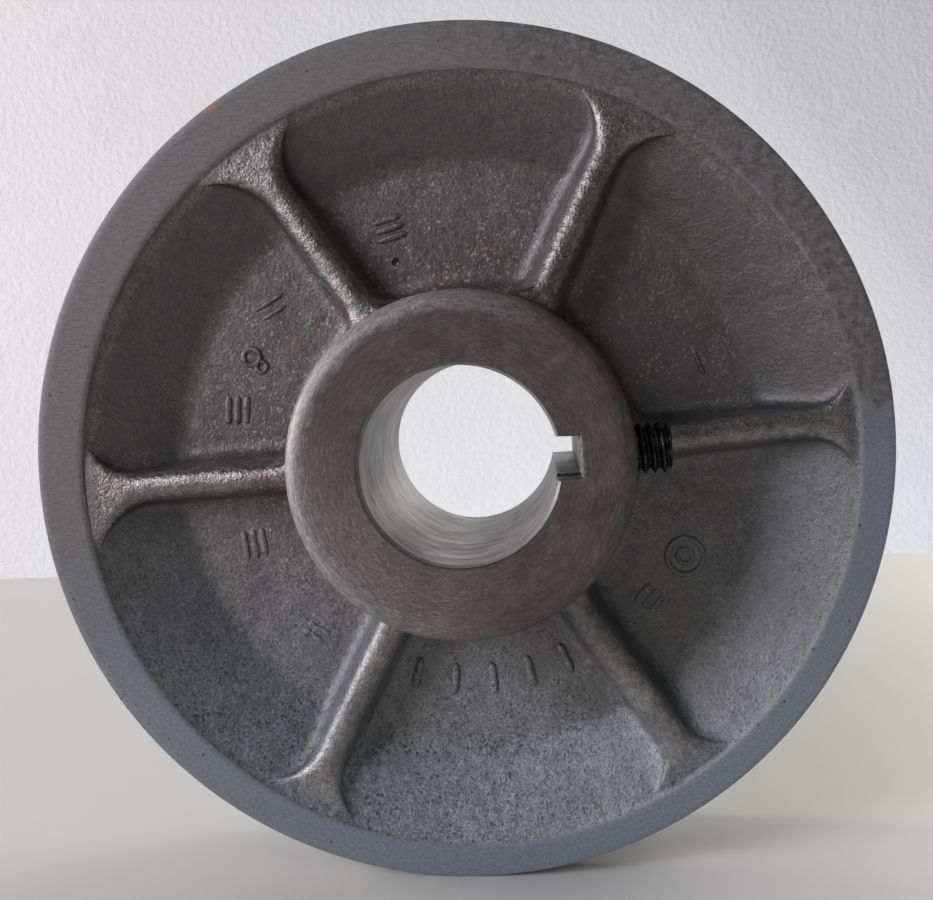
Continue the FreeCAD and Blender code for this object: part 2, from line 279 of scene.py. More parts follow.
# ======== casting surface
class Half:
    """Column layout and surface of one cast half, in its own frame: rim face at Y = 0.

    A surface is a list of rings from the hub's face outwards, each with the material band of the
    faces that follow it.
    """

    steps = {
        TOP: [0.0, 0.5, 1.0],
        ROUND: [18.0, 36.0, 54.0, 72.0, 90.0],
        WALL: [1 / 3, 2 / 3, 1.0],
        FILLET: [22.5, 45.0, 67.5, 90.0],
        BAY: [step / 19 for step in range(1, 20)],
    }

    def __init__(self, first_rib, ribs, hub_radius, hub_height, shift):
        self.hub_radius = hub_radius
        self.hub_height = hub_height
        self.shift = shift
        layout = [(kind, value) for kind in self.steps for value in self.steps[kind]]
        angles = [first_rib + index * 360 / RIB_COUNT + rib[0] for index, rib in enumerate(ribs)]
        angles.append(angles[0] + 360)
        columns = []
        for index, rib in enumerate(ribs):
            bay = (angles[index + 1] - angles[index]) / 2
            flare = ribs[(index + 1) % RIB_COUNT][2]
            columns += [(angles[index], 1, *column, bay, rib[1]) for column in layout]
            columns += [(angles[index + 1], -1, *column, bay, flare) for column in layout[-2:0:-1]]
        self.columns = len(columns)
        self.rib, self.side, self.kind, self.value, self.bay, self.flare = np.array(columns).T
        self.flare_start = self.pocket_edge(self.rib) - RIM_GAP - self.flare
        rib_share = np.select(
            [self.kind < WALL, self.kind == WALL, self.kind == FILLET],
            [1.0, 1.0 - self.value * 0.8, 0.2 - self.value / 90 * 0.2],
            0.0,
        )
        self.root_fillet = TOP_FILLET * rib_share + HUB_FILLET * (1 - rib_share)

    def pocket_edge(self, angle):
        """Distance from the axis to the pocket's edge, which lies off the axis."""
        turn = np.radians(angle)
        along = self.shift[0] * np.cos(turn) + self.shift[1] * np.sin(turn)
        across = self.shift[0] * np.sin(turn) - self.shift[1] * np.cos(turn)
        return along + np.sqrt(POCKET_RADIUS**2 - across**2)

    def floor(self, radius, angle):
        """Depth of the bare web: flat near the hub, a cone outside it."""
        turn = np.radians(angle)
        across = radius * np.cos(turn) - self.shift[0]
        up = radius * np.sin(turn) - self.shift[1]
        slope = (POCKET_DEPTH - RIM_STEP) / (POCKET_RADIUS - POCKET_FLOOR_RADIUS)
        over = np.hypot(across, up) - POCKET_FLOOR_RADIUS
        rise = 0.5 * (over + np.sqrt(over**2 + FLOOR_SOFT**2))
        return POCKET_DEPTH - slope * rise

    def rib_width(self, along):
        """Half width of a rib at its top, flared into the rim and into the hub."""
        outer = np.clip(along - self.flare_start, 0, self.flare * FLARE_LIMIT)
        flare = self.flare - np.sqrt(self.flare**2 - outer**2)
        start = self.hub_radius + 1 + CORNER_RADIUS
        inner = np.clip(start - along, 0, CORNER_RADIUS * FLARE_LIMIT)
        corner = CORNER_RADIUS - np.sqrt(CORNER_RADIUS**2 - inner**2)
        return RIB_HALF + np.minimum(flare, self.flare * FLARE_SHARE) + corner

    def rib_top(self, along):
        """Height of a rib's top, which falls straight from the hub to the rim step."""
        share = (along - self.hub_radius) / (POCKET_RADIUS - RIM_GAP - self.hub_radius)
        return part_way(-RIB_RISE, RIM_STEP, share)

    def place(self, radius):
        """Angle and height of every column at the given distance from the axis."""
        kind, value = self.kind, self.value
        turn = np.radians(value)
        angle = self.rib + self.side * np.where(kind == BAY, self.bay * value, 4.0)
        across = np.full(self.columns, RIB_HALF)
        for _ in range(5):
            along = np.sqrt(np.maximum(radius**2 - across**2, 1.0))
            ground = self.floor(radius, angle)
            top = np.minimum(self.rib_top(along), ground)
            height = np.maximum(ground - top, 0.0)
            rounding = np.minimum(RIB_ROUND, SOFT_SHARE * height)
            fillet = np.minimum(RIB_FILLET, SOFT_SHARE * height)
            edge = self.rib_width(along)
            foot = edge + RIB_DRAFT * (height - rounding - fillet)
            flat = edge - RIB_ROUND
            lateral = np.select(
                [kind == TOP, kind == ROUND, kind == WALL],
                [flat * value, flat + RIB_ROUND * np.sin(turn), part_way(edge, foot, value)],
                foot + RIB_FILLET * (1 - np.cos(np.where(kind == FILLET, turn, math.pi / 2))),
            )
            across = np.where(kind == BAY, foot + RIB_FILLET, lateral)
            reach = np.degrees(np.arcsin(np.clip(across / radius, -1, 1)))
            swing = np.where(kind == BAY, part_way(reach, self.bay, value), reach)
            angle = self.rib + self.side * swing
        wall = part_way(top + rounding, ground - fillet, value)
        round_level = top + rounding * (1 - np.cos(turn))
        fillet_level = ground - fillet * (1 - np.sin(turn))
        kinds = [kind == TOP, kind == ROUND, kind == WALL, kind == FILLET]
        return angle, np.select(kinds, [top, round_level, wall, fillet_level], ground)

    def hub_wall(self, height):
        """Radius of the drafted hub side at a height."""
        upper = -self.hub_height + HUB_ROUND
        lower = POCKET_DEPTH - HUB_FILLET
        return self.hub_radius + (height - upper) / (lower - upper)

    def spread(self, distance):
        """Radius, angle and height at a share of the way from the hub to the pocket edge."""
        root = self.hub_wall(self.foot_level)
        radius = part_way(root, POCKET_RADIUS, distance)
        for _ in range(4):
            angle, level = self.place(radius)
            radius = part_way(root, self.pocket_edge(angle), distance)
        reach = np.clip(self.root_fillet - (radius - root), 0, None)
        level = level - (self.root_fillet - np.sqrt(self.root_fillet**2 - reach**2))
        return radius, angle, level

    def face(self, mouth, mouth_angle, shares):
        """Rings of the hub's end face, from the mouth of its bore outwards."""
        edge = self.hub_radius - HUB_ROUND
        rings = []
        for share in shares:
            angle = part_way(mouth_angle, self.hub_angle, share)
            rings.append((polar(part_way(mouth, edge, share), angle, -self.hub_height), HUB_FACE))
        return rings

    def front(self):
        """Rings from the hub's face edge to the start of the outer rim edge."""
        self.hub_angle, start_level = self.place(self.hub_radius + 1.0)
        self.foot_level = start_level - self.root_fillet
        rings = []
        corner = self.hub_radius - HUB_ROUND
        for turn in np.radians(np.linspace(0, 90, 7)):
            radius = corner + HUB_ROUND * math.sin(turn)
            height = -self.hub_height + HUB_ROUND * (1 - math.cos(turn))
            rings.append((polar(radius, self.hub_angle, height), HUB_FACE))
        upper = -self.hub_height + HUB_ROUND
        for share in np.linspace(0, 1, 8)[1:-1]:
            level = part_way(upper, self.foot_level, share)
            rings.append((polar(self.hub_wall(level), self.hub_angle, level), CAST))
        for distance in np.concatenate([WEB_NEAR, WEB_MIDDLE, WEB_LAST]) / WEB_WIDTH:
            rings.append((polar(*self.spread(distance)), CAST))
        radius, self.rim_angle, _ = self.spread(1.0)
        for out, share in POCKET_EDGE:
            rings.append((polar(radius + out, self.rim_angle, RIM_STEP * share), TURNED))
        for share in [0, 0.12, 0.35, 0.6, 0.85, 1]:
            out = part_way(radius + RIM_LIP, RIM_RADIUS - RIM_EDGE, share)
            rings.append((polar(out, self.rim_angle, 0.0), TURNED))
        return rings

    def back(self, inner_angle, inner_radius):
        """Rings from the rim's front edge over the groove wall to the core face's inner edge."""
        rim = [[0.1, 0.12]] + [[0.0, height] for height in [RIM_EDGE, 2.4, 4.4, RIM_WIDTH - 0.3]]
        rim.append([0.1, RIM_WIDTH + 0.03])
        places = [[RIM_RADIUS - inset, self.rim_angle, height] for inset, height in rim]
        for share in np.linspace(0.03, 1, 13):
            radius = part_way(RIM_RADIUS, CORE_RADIUS, share)
            places.append([radius, self.rim_angle, part_way(RIM_WIDTH, CORE_PLANE, share)])
        for share in np.linspace(0, 1, 8)[1:]:
            angle = part_way(self.rim_angle, inner_angle, share)
            places.append([part_way(CORE_RADIUS, inner_radius, share), angle, CORE_PLANE])
        return [(polar(*place), TURNED) for place in places]


def groove_wave(turns, steep, crest):
    """0 on the crest and 1 in the groove of a thread, after this many turns along it."""
    return np.clip(steep * np.abs(2 * (turns % 1.0) - 1) - crest, 0, 1)


def barrel_wave(angle, height):
    """Wave of the right hand thread of the barrel and of the moving half."""
    return groove_wave(height / THREAD_PITCH + angle / 360.0, 1.35, 0.18)


def seat_columns(base, center, pick, mouth, deep):
    """Moves columns so that four of them sit on the corners of a slot.

    The columns nearest to `pick` degrees from the centre go to `mouth`, their inner neighbours to
    `deep`.  Returns the new angles, the columns from corner to corner and their angles from the
    centre.
    """
    delta = (base - center + 180) % 360 - 180
    order = np.argsort(delta)
    ranked = delta[order]
    lower = int(np.argmin(np.abs(ranked + pick)))
    upper = int(np.argmin(np.abs(ranked - pick)))
    moved = ranked.copy()
    below = ease(ranked, ranked[lower] - SEAT_FADE, ranked[lower])
    above = ease(ranked, ranked[upper] + SEAT_FADE, ranked[upper])
    moved[: lower + 1] += ((-mouth - ranked[lower]) * below)[: lower + 1]
    moved[upper:] += ((mouth - ranked[upper]) * above)[upper:]
    inside = slice(lower + 1, upper)
    moved[inside] = np.linspace(-deep, deep, upper - lower - 1)
    angles = base.copy()
    angles[order] = base[order] + (moved - ranked)
    return angles, order[inside], moved[inside]


def slot_angles(floor, surface):
    """Angles from a keyway's middle to the corners of its floor and of its mouth."""
    return math.degrees(math.atan(KEYWAY_HALF / floor)), math.degrees(math.asin(KEYWAY_HALF / surface))


def slot_columns(base, center, floor, surface):
    """Columns seated on a keyway, the columns on its floor and their distance from the axis."""
    deep, mouth = slot_angles(floor, surface)
    angles, inside, moved = seat_columns(base, center, mouth, mouth, deep)
    return angles, inside, floor / np.cos(np.radians(moved))


def beside_slots(base, centers, floor, surface, outward):
    """Angles of a plain ring just outside or just inside a ring with outer keyways."""
    deep, mouth = slot_angles(floor, surface)
    corners = [mouth, mouth - SLOT_GAP] if outward else [deep + SLOT_GAP, deep]
    for center in centers:
        base = seat_columns(base, center, mouth, *corners)[0]
    return base


def with_slots(radius, slots, lift=0.0):
    """Ring radius with the keyway floors put in, moved out by `lift`."""
    radius = radius.copy()
    for columns, floor in slots:
        radius[columns] = floor + lift
    return radius


def fixed_surface():
    """Rings of the fixed half: hub face, web, rim, groove wall, threaded barrel and bore."""
    half = Half(FIRST_RIB, FIXED_RIBS, FIXED_HUB_RADIUS, HUB_HEIGHT, POCKET_SHIFT)
    front = half.front()
    ones = np.ones(half.columns)
    bore_angle, *key_slot = slot_columns(half.hub_angle, KEY_ANGLE, KEYWAY_FLOOR, BORE_RADIUS)
    mouth = with_slots((BORE_RADIUS + BORE_CHAMFER) * ones, [key_slot], 0.12)
    rings = half.face(mouth, bore_angle, [0, 0.06, 0.2, 0.4, 0.6, 0.8]) + front
    rings = [(off_centre(ring), band) for ring, band in rings]

    centers = [KEY_ANGLE, KEY_ANGLE + 180]
    barrel = [OUTER_KEYWAY_FLOOR, BARREL_RADIUS]
    barrel_angle = half.hub_angle
    slots = []
    for center in centers:
        barrel_angle, *slot = slot_columns(barrel_angle, center, *barrel)
        slots.append(slot)
    rings += half.back(beside_slots(half.hub_angle, centers, *barrel, True), BARREL_RADIUS + 0.6)

    relief = BARREL_RADIUS - THREAD_DEPTH - 0.05
    rings.append((polar(with_slots(relief * ones, slots), barrel_angle, CORE_PLANE), THREAD))
    start = CORE_PLANE + THREAD_START
    rows = int((BARREL_END - CORE_PLANE) / THREAD_PITCH * ROWS_PER_PITCH)
    for height in np.linspace(CORE_PLANE + 0.15, BARREL_END, rows):
        cut_in = ease(height, start, start + THREAD_RUN_IN)
        thread = BARREL_RADIUS - THREAD_DEPTH * barrel_wave(barrel_angle, height)
        limit = BARREL_RADIUS - max(0.0, height - (BARREL_END - BARREL_CHAMFER))
        radius = np.minimum(part_way(relief, thread, cut_in), limit)
        rings.append((polar(with_slots(radius, slots), barrel_angle, height), THREAD))
    rings[-1] = (rings[-1][0], HUB_FACE)

    face_angle = beside_slots(half.hub_angle, centers, *barrel, False)
    for radius, share in BARREL_FACE:
        angle = part_way(face_angle, bore_angle, share)
        rings.append((polar(radius, angle, BARREL_END), HUB_FACE))
    inner_mouth = with_slots((BORE_RADIUS + BORE_CHAMFER) * ones, [key_slot], 0.1)
    rings.append((polar(inner_mouth, bore_angle, BARREL_END), BORE_WALL))
    bore = with_slots(BORE_RADIUS * ones, [key_slot])
    for height in np.linspace(BARREL_END - BORE_CHAMFER, -HUB_HEIGHT + BORE_CHAMFER, 15):
        rings.append((polar(bore, bore_angle, height), BORE_WALL))
    return rings


def moving_surface():
    """Rings of the moving half, mirrored so that its hub points to +Y."""
    hub_height = BARREL_END - 2 * CORE_PLANE
    half = Half(KEY_ANGLE + 30, MOVING_RIBS, MOVING_HUB_RADIUS, hub_height, (0.0, 0.0))
    front = half.front()
    surface = (BARREL_RADIUS + THREAD_PLAY) * np.ones(half.columns)
    bore_angle, *slot = slot_columns(
        half.hub_angle, KEY_ANGLE + 180, MOVING_KEYWAY_FLOOR, BARREL_RADIUS + THREAD_PLAY
    )
    mouth = with_slots(surface + 0.5, [slot], 0.1)
    rings = half.face(mouth, bore_angle, [0, 0.06, 0.25, 0.5, 0.75]) + front
    rings += half.back(bore_angle, mouth)
    rings[-1] = (rings[-1][0], THREAD)
    rows = int((CORE_PLANE + hub_height) / THREAD_PITCH * ROWS_PER_PITCH)
    for height in np.linspace(CORE_PLANE - 0.5, -hub_height + 0.5, rows):
        wave = barrel_wave(bore_angle, 2 * CORE_PLANE - height + REST_SHIFT)
        radius = with_slots(surface - (THREAD_DEPTH + 0.02) * wave, [slot])
        rings.append((polar(radius, bore_angle, height), THREAD))
    for ring, _ in rings:
        ring[:, 1] = 2 * CORE_PLANE - ring[:, 1] + REST_SHIFT
    return rings


def sand_relief(obj, amount):
    """Pushes the cast skin in and out a little, in soft lumps a few millimetres wide."""
    mesh = obj.data
    skin, rest = set(), set()
    for face in mesh.polygons:
        (skin if face.material_index == CAST else rest).update(face.vertices)
    normals = [vertex.normal.copy() for vertex in mesh.vertices]
    for index in sorted(skin - rest):
        vertex = mesh.vertices[index]
        spot = vertex.co / MM
        lumps = noise.noise(spot * 0.16) + 0.7 * noise.noise(spot * 0.42) + 0.5 * noise.noise(spot * 0.9)
        vertex.co = vertex.co + normals[index] * (lumps * amount * MM)


def cut(obj, points, faces):
    """Takes a closed shape out of the object's mesh."""
    tool = add_object("cutter", new_mesh("cutter", points, faces))
    modifier = obj.modifiers.new("cut", "BOOLEAN")
    modifier.operation = "DIFFERENCE"
    modifier.solver = "EXACT"
    modifier.object = tool
    graph = bpy.context.evaluated_depsgraph_get()
    mesh = bpy.data.meshes.new_from_object(obj.evaluated_get(graph))
    obj.modifiers.clear()
    obj.data = mesh
    bpy.data.objects.remove(tool)


def drill(obj, start, direction, radius, length):
    """Round hole from a point along a direction."""
    count = 48
    line = Vector(direction).normalized()
    side = line.orthogonal().normalized()
    up = line.cross(side)
    points = []
    for reach in [0, length]:
        for step in range(count):
            turn = 2 * math.pi * step / count
            out = (side * math.cos(turn) + up * math.sin(turn)) * radius
            points.append(list(Vector(start) + line * reach + out))
    cut(obj, points, loft(points, False, count))


def dent(obj, place, radius):
    """Small round hollow."""
    rows, count = 6, 12
    points = []
    for slope in np.arange(1, rows) * math.pi / rows:
        for turn in np.arange(count) * 2 * math.pi / count:
            ray = [math.sin(slope) * math.cos(turn), math.sin(slope) * math.sin(turn), math.cos(slope)]
            points.append(np.array(place) + radius * np.array(ray))
    points += [np.array(place) + [0, 0, radius], np.array(place) - [0, 0, radius]]
    cut(obj, points, pointed_faces(rows - 1, count, True))


# ======== raised marks
# Angle on the wheel, direction, length and height of the three bars of each tally group.
TALLY_GROUPS = [
    [109.5, 199.0, 5.0, 0.32],
    [170.0, 269.0, 4.9, 0.28],
    [203.4, 280.0, 5.0, 0.26],
    [230.0, 327.0, 4.4, 0.18],
    [320.7, 411.0, 4.0, 0.16],
]
TALLY_RADIUS = 38.4
TALLY_GAP = 1.5
TALLY_WIDTH = 1.15
# Single bars: distance from the axis, angle on the wheel, direction, length, width and height.
SINGLE_BARS = [
    [40.2, 21.3, 113.0, 4.6, 0.9, 0.3],
    [40.6, 143.4, 32.0, 5.6, 0.8, 0.34],
    [38.9, 144.6, 32.0, 4.4, 0.8, 0.3],
]
SINGLE_BARS += [[37.7, angle, angle, 5.4, 1.35, 0.5] for angle in [257.0, 266.5, 276.0, 285.5, 295.0]]
# Rings: distance from the axis, angle on the wheel, radius, width and height.
RINGS = [
    [38.6, 156.6, 1.35, 0.95, 0.45],
    [36.5, 157.9, 0.85, 0.80, 0.32],
    [39.5, 334.0, 3.0, 1.0, 0.32],
    [39.5, 334.0, 1.2, 0.9, 0.28],
]
MARK_SINK = 0.3
MARK_SECTION = 9


def bar_section(width, height):
    """Outline of a rounded cast bar: across, above the ground."""
    outline = []
    for turn in np.radians(np.linspace(-90, 90, MARK_SECTION - 2)):
        outline.append([width / 2 * math.sin(turn), height * math.cos(turn)])
    return outline + [[width / 2, -MARK_SINK], [-width / 2, -MARK_SINK]]


def cast_bar(place, direction, length, width, height):
    """Straight raised mark on the web, with uneven width and tapered ends."""
    along = np.array(swung(1, 0, direction))
    across = np.array(swung(0, 1, direction))
    points = []
    for share in np.linspace(-1, 1, 11):
        taper = math.sqrt(max(0.0, 1 - abs(share) ** 7)) * 0.8 + 0.2
        wave = 1 + 0.30 * noise.noise(Vector((place[0] + share * 6, place[1], width * 7)))
        for side, rise in bar_section(width * taper * wave, height * taper * wave):
            spot = np.array(place) + along * share * length / 2 + across * side
            points.append([spot[0], POCKET_DEPTH - rise, spot[1]])
    return points, loft(points, False, MARK_SECTION)


def cast_ring(place, radius, width, height):
    """Plain raised ring on the web."""
    points = []
    for angle in np.arange(0, 360, 12):
        for side, rise in bar_section(width, height):
            out = swung(radius - side, 0, angle)
            points.append([place[0] + out[0], POCKET_DEPTH - rise, place[1] + out[1]])
    return points, loft(points, True, MARK_SECTION)


def cast_marks():
    """Tally marks of the pattern shop, with plain bars and rings in place of lettering."""
    shapes = []
    for angle, lean, length, height in TALLY_GROUPS:
        middle = np.array(swung(TALLY_RADIUS, 0, angle))
        for step in [-1, 0, 1]:
            place = middle + swung(step * TALLY_GAP, 0, lean - 90)
            shapes.append(cast_bar(place, lean, length, TALLY_WIDTH, height))
    for away, angle, *bar in SINGLE_BARS:
        shapes.append(cast_bar(swung(away, 0, angle), *bar))
    for away, angle, *ring in RINGS:
        shapes.append(cast_ring(swung(away, 0, angle), *ring))
    points, faces = [], []
    for shape_points, shape_faces in shapes:
        base = len(points)
        points += shape_points
        faces += [tuple(index + base for index in face) for face in shape_faces]
    obj = make_object("cast_marks", points, faces, [cast_skin()], sharp=60.0)
    declare(obj, "fixed_half")


def keyway_burr():
    """Ragged turned-up edge where the keyway floor meets the hub face."""
    points = []
    for share in np.linspace(0, 1, 41):
        side = -KEYWAY_HALF + 2 * KEYWAY_HALF * share
        rough = noise.noise(Vector((share * 23, 1.7, 0.4)))
        rougher = noise.noise(Vector((share * 61, 5.1, 2.2)))
        fade = min(1.0, 8 * share, 8 * (1 - share))
        wide = (0.60 + 0.30 * rough + 0.22 * rougher) * fade
        lift = (0.26 + 0.20 * rougher) * fade
        section = [
            [-wide * 0.75, 0.35, side],
            [-wide * 0.5, -lift * 0.8, side + 0.1 * rough],
            [wide * 0.15, -lift, side + 0.12 * rougher],
            [wide * 0.75, -0.02, side],
            [0.2, 0.45, side],
        ]
        for out, rise, across in section:
            x, z = swung(KEYWAY_FLOOR + out, across, KEY_ANGLE)
            points.append([x, -HUB_HEIGHT + rise, z])
    faces = loft(points, False, len(section))
    declare(make_object("keyway_burr", points, faces, [bore_iron()], sharp=35.0), "fixed_half")


def casting(name, surface, node, body, flip, holes):
    """One cast half: closed surface with its bands of material, relief and holes."""
    rings = surface()
    columns = len(rings[0][0])
    points = np.concatenate([ring for ring, _ in rings])
    bands = np.repeat([band for _, band in rings], columns)
    materials = [cast_skin(), turned_iron(), hub_iron(), bore_iron(), thread_iron()]
    obj = make_object(name, points, ring_faces(len(rings), columns, True, flip), materials, bands)
    sand_relief(obj, 0.09)
    holes(obj)
    declare(obj, body, node)


# ======== material nodes
class Signal:
    """Value, vector or colour that a shader node gives out."""

    def __init__(self, look, socket):
        self.look = look
        self.socket = socket

    def __add__(self, other):
        return self.look.math("ADD", self, other)

    def __sub__(self, other):
        return self.look.math("SUBTRACT", self, other)

    def __rsub__(self, other):
        return self.look.math("SUBTRACT", other, self)

    def __mul__(self, other):
        return self.look.math("MULTIPLY", self, other)

    def __lt__(self, other):
        return self.look.math("LESS_THAN", self, other)

    def level(self, low, high, out_low=0.0, out_high=1.0):
        """Maps low..high to out_low..out_high, clamped."""
        ends = {"From Min": low, "From Max": high, "To Min": out_low, "To Max": out_high}
        return self.look.node("MapRange", "Result", {"Value": self, **ends})

    def between(self, off, on):
        """Goes from one value to the other as this mask goes from 0 to 1."""
        return self.level(0.0, 1.0, off, on)

    def ramp(self, *stops):
        """Colour that runs through stops, each a place followed by a colour or a grey."""
        color = self.look.node("ValToRGB", "Color", {"Fac": self})
        items = color.socket.node.color_ramp.elements
        while len(items) < len(stops):
            items.new(0.5)
        for item, (place, shade) in zip(items, stops):
            item.position = place
            item.color = (*shade, 1.0) if isinstance(shade, tuple) else (shade, shade, shade, 1.0)
        return color

    def mix(self, share, color):
        """This colour with a share of another one."""
        return self.look.mix(share, self, color)

    def times(self, tone, share=1.0):
        """This colour multiplied by a tone."""
        return self.look.mix(share, self, tone, "MULTIPLY")


class Look:
    """Procedural material in the object's own millimetres."""

    def __init__(self, name):
        self.material = bpy.data.materials.new(name)
        self.material.use_nodes = True
        self.tree = self.material.node_tree
        place = self.node("TexCoord", "Object", {})
        self.place = self.vector("SCALE", {0: place, "Scale": 1 / MM})

    def plug(self, socket, value):
        """Links a signal to a socket, or sets a plain number, vector or colour on it."""
        if isinstance(value, Signal):
            self.tree.links.new(value.socket, socket)
        elif socket.type == "RGBA":
            socket.default_value = (*value, 1.0)
        else:
            socket.default_value = value

    def node(self, kind, output, inputs, **settings):
        """Output of a new shader node."""
        node = self.tree.nodes.new("ShaderNode" + kind)
        for name, value in settings.items():
            setattr(node, name, value)
        for key, value in inputs.items():
            self.plug(node.inputs[key], value)
        return Signal(self, node.outputs[output])

    def math(self, operation, first, second):
        return self.node("Math", 0, {0: first, 1: second}, operation=operation)

    def vector(self, operation, inputs, output=0):
        return self.node("VectorMath", output, inputs, operation=operation)

    def mix(self, share, first, second, blend="MIX"):
        inputs = {"Factor": share, 6: first, 7: second}
        return self.node("Mix", 2, inputs, data_type="RGBA", blend_type=blend)

    def finish(self, layers, **inputs):
        """Sets the surface; layers of bump are height, strength and depth, the broadest first."""
        surface = self.tree.nodes["Principled BSDF"]
        for key, value in inputs.items():
            self.plug(surface.inputs[key.replace("_", " ")], value)
        under = {}
        for height, strength, depth in layers:
            bump = {"Height": height, "Strength": strength, "Distance": depth * MM}
            normal = self.node("Bump", "Normal", {**bump, **under})
            under = {"Normal": normal}
        if layers:
            self.plug(surface.inputs["Normal"], normal)
        return self.material

    def axis(self, name):
        """Single coordinate of the place."""
        return self.node("SeparateXYZ", name, {0: self.place})

    @functools.cached_property
    def flat(self):
        """The place laid into the wheel's plane."""
        return self.stretched(1, 0, 1)

    @functools.cached_property
    def radius(self):
        """Distance from the axis."""
        return self.vector("LENGTH", {0: self.flat}, "Value")

    def stretched(self, *scale):
        """The place with each axis scaled on its own."""
        return self.vector("MULTIPLY", {0: self.place, 1: scale})

    def grain(self, size, detail=3.0, rough=0.55, place=None):
        """Noise whose features are about `size` millimetres wide."""
        inputs = {"Vector": place or self.place, "Scale": 1 / size, "Detail": detail, "Roughness": rough}
        return self.node("TexNoise", "Fac", inputs)

    def ragged(self, size, amount, detail=4.0, rough=0.6, place=None):
        """Noise round zero that makes the border of a mask ragged."""
        return (self.grain(size, detail, rough, place) - 0.5) * amount

    def cells(self, size, place=None):
        """Distance to scattered points about `size` millimetres apart, in cell widths."""
        inputs = {"Vector": place or self.place, "Scale": 1 / size, "Randomness": 1.0}
        return self.node("TexVoronoi", "Distance", inputs)

    def turning_lines(self, around, across):
        """Short scratches that follow the turning: `around` per radian, `across` per millimetre."""
        unit = self.vector("NORMALIZE", {0: self.flat})
        swing = self.vector("SCALE", {0: unit, "Scale": around})
        out = self.node("CombineXYZ", 0, {"Y": self.radius * across})
        return self.grain(1.0, 4.0, 0.6, self.vector("ADD", {0: swing, 1: out}))

    def toward(self, angle, low, high, ragged):
        """Mask that rises from 0 to 1 along a direction on the wheel, with a ragged border."""
        x, z = swung(1, 0, angle)
        along = self.vector("DOT_PRODUCT", {0: self.place, 1: (x, 0, z)}, "Value")
        return (along + self.ragged(9.0, ragged)).level(low, high)

    def near(self, center, reach, ragged, place=None):
        """Mask round a point given in millimetres, fading out at `reach`."""
        away = self.vector("DISTANCE", {0: place or self.place, 1: center}, "Value")
        return (away + self.ragged(reach * 0.5, ragged, place=place)).level(reach, reach * 0.35)


# ======== materials
SKIN_IOR = 1.8
FACE_IOR = 1.6
# BROWN_CONE is darker than BROWN_FLAT as painted shade: the upper cone faces away from the light.
BROWN_CONE = (0.037, 0.034, 0.0335)
BROWN_FLAT = (0.058, 0.053, 0.051)
# The blue-grey colours are laid towards the lower right; their lightness there is partly painted light.
BLUE_CONE = (0.106, 0.119, 0.131)
BLUE_FLAT = (0.104, 0.108, 0.116)
RIB_WORN = (0.180, 0.173, 0.168)
RIB_BLUE = (0.182, 0.184, 0.184)
RED_BLOOM = (0.085, 0.040, 0.036)
PIT_DARK = (0.016, 0.015, 0.015)
# GLINT is a painted highlight: the colour of light specks that stand in for glints.
GLINT = (0.285, 0.268, 0.254)
GLINT_SHIFT = (31.0, 17.0, 5.0)
# RIM_BLUE is lighter than RIM_GREY as painted light and painted reflection towards the lower right.
RIM_GREY = (0.122, 0.119, 0.117)
RIM_BLUE = (0.152, 0.171, 0.200)
RIM_BROWN = (0.066, 0.059, 0.057)
RIM_BARE = (0.128, 0.126, 0.130)
SPECK = (0.03, 0.03, 0.03)
RUST = (0.205, 0.105, 0.066)
RUST_STRETCH = (2.0, 1.0, 1.0)
RUST_PLACE = (-79.0, 0.0, 54.4)
HUB_DRIFT = (0.060, 0.056, 0.050)
HUB_LOW = (0.118, 0.107, 0.100)
# The worn grey of the hub's rounding, partly a painted highlight on its lit side.
HUB_WORN_LIT = (0.145, 0.138, 0.138)
# Painted shade of the bore's chamfer.
CHAMFER_SHADE = (0.012, 0.011, 0.010)
KEYWAY_SHADE = (0.062, 0.057, 0.050)
THREAD_DIRT = (0.07, 0.05, 0.038)
KEY_RUST = (0.062, 0.036, 0.024)
KEY_BLOT = (0.030, 0.022, 0.018)

# Patches of painted shadow and painted light on the skin of the fixed half, over the hub's shadow, parts
# of the cone and single ribs: middle, reach and tint.
PAINTED_LIGHT_PATCHES = [
    [(30.0, 7.0, 22.0), 26.0, (0.58, 0.56, 0.53)],
    [(27.0, 7.0, -26.0), 24.0, (0.70, 0.69, 0.66)],
    [(50.0, 3.0, -32.0), 22.0, (0.74, 0.75, 0.75)],
    [(0.0, 4.0, -52.0), 30.0, (1.34, 1.34, 1.32)],
    [(-17.5, -1.0, -39.0), 9.0, (0.80, 0.80, 0.80)],
    [(26.0, -1.0, -37.0), 9.0, (1.30, 1.30, 1.28)],
    [(-27.0, -1.0, 38.0), 11.0, (0.86, 0.86, 0.86)],
    [(40.0, 3.0, 49.0), 17.0, (1.18, 1.18, 1.18)],
]
PATCH_RAGGED = 10.0


def rib_crest(look):
    """Mask for the tops and edges of the ribs of both halves."""
    middle = CORE_PLANE + REST_SHIFT / 2
    fall = (RIB_RISE + RIM_STEP) / (POCKET_RADIUS - FIXED_HUB_RADIUS)
    out = look.math("ABSOLUTE", look.axis("Y") - middle, 0.0)
    top = middle + RIB_RISE + fall * FIXED_HUB_RADIUS - look.radius * fall
    return (top - out).level(1.3, 0.5) * look.radius.level(60.6, 58.0)


